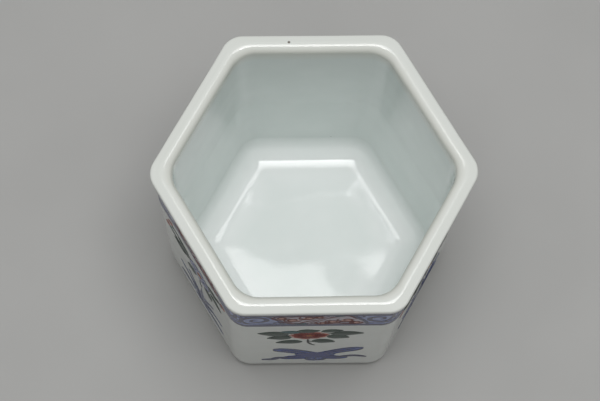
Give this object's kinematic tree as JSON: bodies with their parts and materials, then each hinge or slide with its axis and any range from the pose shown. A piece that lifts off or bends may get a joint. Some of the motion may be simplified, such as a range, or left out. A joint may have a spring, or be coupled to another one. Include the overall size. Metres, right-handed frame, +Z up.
{
  "type": "hexagonal fire pot",
  "caption": "Hexagonal open-topped ember pot of glazed porcelain: slab walls that lean out slightly, a rolled lip, coved inner seams and a low unglazed foot.",
  "frame": {"origin": "middle of the pot's footprint, on the plane that the foot stands on", "axes": "+Z up through the open mouth; the front wall faces -Y; two of the six corners lie on the X axis"},
  "size_m": [0.1142, 0.101, 0.104],
  "materials": {
    "glazed_porcelain": "gloss",
    "bare_porcelain": "matte"
  },
  "bodies": {
    "root": {"floor_slab": "glazed_porcelain", "wall_slab_front": "glazed_porcelain", "wall_slab_front_right": "glazed_porcelain", "wall_slab_back_right": "glazed_porcelain", "wall_slab_back": "glazed_porcelain", "wall_slab_back_left": "glazed_porcelain", "wall_slab_front_left": "glazed_porcelain", "floor_coil_front": "glazed_porcelain", "floor_coil_front_right": "glazed_porcelain", "floor_coil_back_right": "glazed_porcelain", "floor_coil_back": "glazed_porcelain", "floor_coil_back_left": "glazed_porcelain", "floor_coil_front_left": "glazed_porcelain", "corner_coil_front_left": "glazed_porcelain", "corner_coil_front_right": "glazed_porcelain", "corner_coil_right": "glazed_porcelain", "corner_coil_back_right": "glazed_porcelain", "corner_coil_back_left": "glazed_porcelain", "corner_coil_left": "glazed_porcelain", "foot_strip_front": "bare_porcelain", "foot_strip_front_right": "bare_porcelain", "foot_strip_back_right": "bare_porcelain", "foot_strip_back": "bare_porcelain", "foot_strip_back_left": "bare_porcelain", "foot_strip_front_left": "bare_porcelain"}
  },
  "joints": []
}
